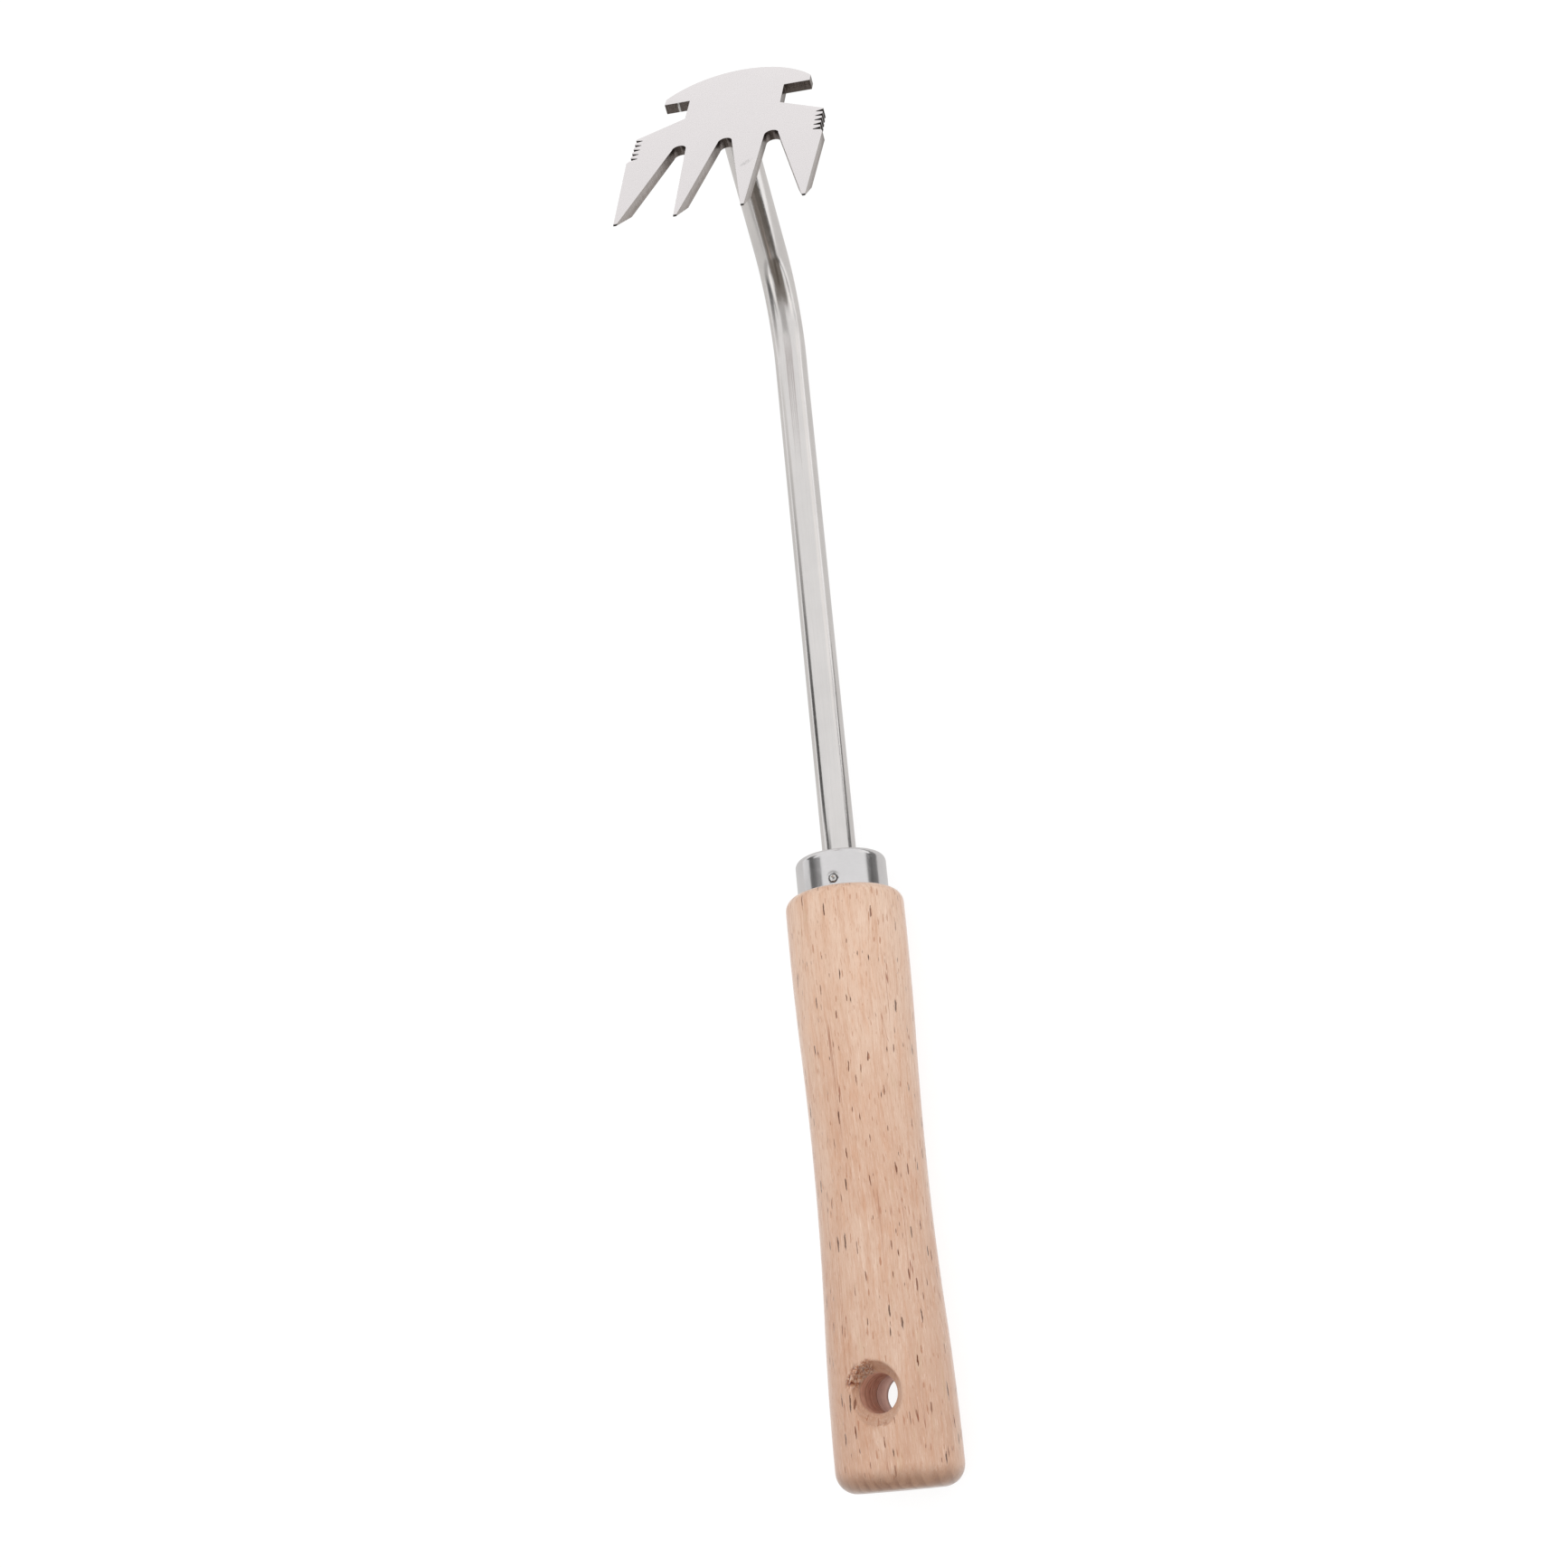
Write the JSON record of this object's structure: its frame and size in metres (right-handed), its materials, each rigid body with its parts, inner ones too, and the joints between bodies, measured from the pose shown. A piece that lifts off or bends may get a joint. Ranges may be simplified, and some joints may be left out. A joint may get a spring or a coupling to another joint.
{
  "type": "claw scraper",
  "caption": "Hand scraper with a toothed plate welded square to the end of a cranked round neck, and a turned wooden handle with a hang hole.",
  "frame": {"origin": "middle of the hang hole, on the handle's axis", "axes": "+Y along the handle's axis towards the toothed head, +Z along the hang hole on the side the teeth point to, +X completes the right-handed set"},
  "size_m": [0.0476, 0.3335, 0.0849],
  "materials": {
    "plate": "satin",
    "weld": "satin",
    "bar": "polished",
    "ferrule": "polished",
    "pin": "satin",
    "wood": "matte"
  },
  "bodies": {
    "root": {"head_plate": "plate", "weld_bead": "weld", "neck_bar": "bar", "ferrule": "ferrule", "ferrule_pin": "pin", "handle": "wood"}
  },
  "joints": []
}
